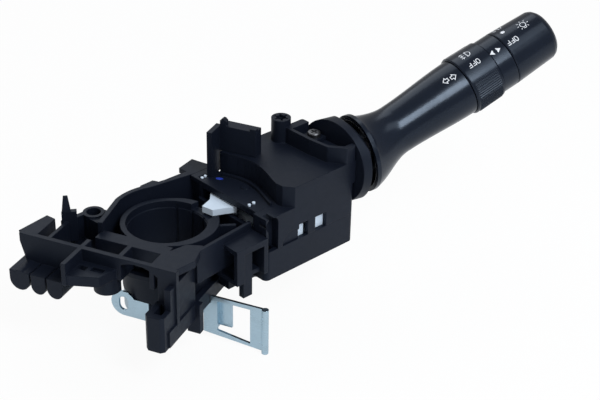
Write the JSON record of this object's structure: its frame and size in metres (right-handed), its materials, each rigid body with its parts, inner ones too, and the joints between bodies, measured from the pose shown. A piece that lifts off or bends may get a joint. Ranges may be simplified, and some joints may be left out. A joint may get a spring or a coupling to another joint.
{
  "type": "combination stalk switch",
  "caption": "Steering column stalk switch: a multifunction lever with twist ring and end knob on a switch housing and a moulded column bracket with clamp band.",
  "frame": {"origin": "on the column bore's axis, level with the deck of the bracket", "axes": "+Z along the column bore towards the driver, +X and +Y along the bracket's ribs; the lever leans out between +X and +Y"},
  "size_m": [0.1895, 0.2226, 0.1164],
  "materials": {
    "black_plastic": "fine satin texture",
    "lever_plastic": "soft satin",
    "white_nylon": "moulded",
    "zinc_steel": "bright zinc plate",
    "spring_steel": "drawn wire",
    "screw_steel": "dark zinc",
    "copper_contact": "rolled strip",
    "board_green": "coated board",
    "tin_pins": "tinned"
  },
  "bodies": {
    "housing": {"bracket_frame": "black_plastic", "clamp_band": "zinc_steel", "switch_case": "black_plastic", "switch_cover": "black_plastic", "lower_cover": "black_plastic", "cover_pins": "white_nylon", "guide_tower": "black_plastic", "connector_shroud": "black_plastic", "terminal_pins": "tin_pins", "contact_board": "board_green", "board_contacts": "copper_contact", "detent_cam": "white_nylon", "collar_ring": "black_plastic", "collar_screw": "screw_steel", "pawl_pin": "spring_steel", "pawl_spring": "spring_steel", "case_screws": "screw_steel", "bracket_screws": "screw_steel"},
    "turn_yoke": {"turn_yoke": "white_nylon", "dimmer_pin": "spring_steel"},
    "lever": {"lever_arm": "lever_plastic", "lever_rod": "spring_steel", "lever_body": "lever_plastic", "index_sleeve": "lever_plastic", "contact_discs": "copper_contact", "detent_balls": "spring_steel", "detent_springs": "spring_steel", "plunger_spring": "spring_steel"},
    "detent_plunger": {"detent_plunger": "spring_steel"},
    "fog_ring": {"fog_ring": "lever_plastic", "ring_wiper": "copper_contact"},
    "end_knob": {"end_knob": "lever_plastic"},
    "cancel_pawl": {"cancel_pawl": "white_nylon"},
    "turn_slider": {"turn_slider": "white_nylon", "slider_contact": "copper_contact"},
    "dimmer_slider": {"dimmer_slider": "white_nylon", "dimmer_contact": "copper_contact"}
  },
  "joints": [
    {"name": "turn_signal", "type": "hinge", "parent": "housing", "child": "turn_yoke", "pos_m": [0.03972, 0.05271, -0.0006], "axis": [0, 0, 1], "range_deg": [-10, 10]},
    {"name": "dimmer", "type": "hinge", "parent": "turn_yoke", "child": "lever", "pos_m": [0.03972, 0.05271, -0.0006], "axis": [-0.7986, 0.6018, 0], "range_deg": [-5, 5]},
    {"name": "detent_press", "type": "slide", "parent": "lever", "child": "detent_plunger", "axis": [0.5599, 0.7431, 0.3665], "range_m": [0, 0.0009], "stiffness_N_per_m": 400},
    {"name": "fog_lamp_ring", "type": "hinge", "parent": "lever", "child": "fog_ring", "pos_m": [0.09934, 0.13183, 0.03842], "axis": [0.5599, 0.7431, 0.3665], "range_deg": [-30, 30]},
    {"name": "head_lamp_knob", "type": "hinge", "parent": "lever", "child": "end_knob", "pos_m": [0.11726, 0.15561, 0.05015], "axis": [0.5599, 0.7431, 0.3665], "range_deg": [-45, 45]},
    {"name": "cancel_pawl_swing", "type": "hinge", "parent": "housing", "child": "cancel_pawl", "pos_m": [0.01573, 0.03242, 0.0028], "axis": [0, 0, 1], "range_deg": [-12, 12], "stiffness_Nm_per_rad": 0.02},
    {"name": "turn_slide", "type": "slide", "parent": "housing", "child": "turn_slider", "axis": [0.3987, 0.9171, 0], "range_m": [-0.0026, 0.0026]},
    {"name": "dimmer_slide", "type": "slide", "parent": "housing", "child": "dimmer_slider", "axis": [0, 0, 1], "range_m": [-0.0012, 0.0012]}
  ],
  "couplings": [
    {"joint": "turn_slide", "follows": "turn_signal", "m_per_rad": 0.0141},
    {"joint": "dimmer_slide", "follows": "dimmer", "m_per_rad": 0.01172}
  ]
}
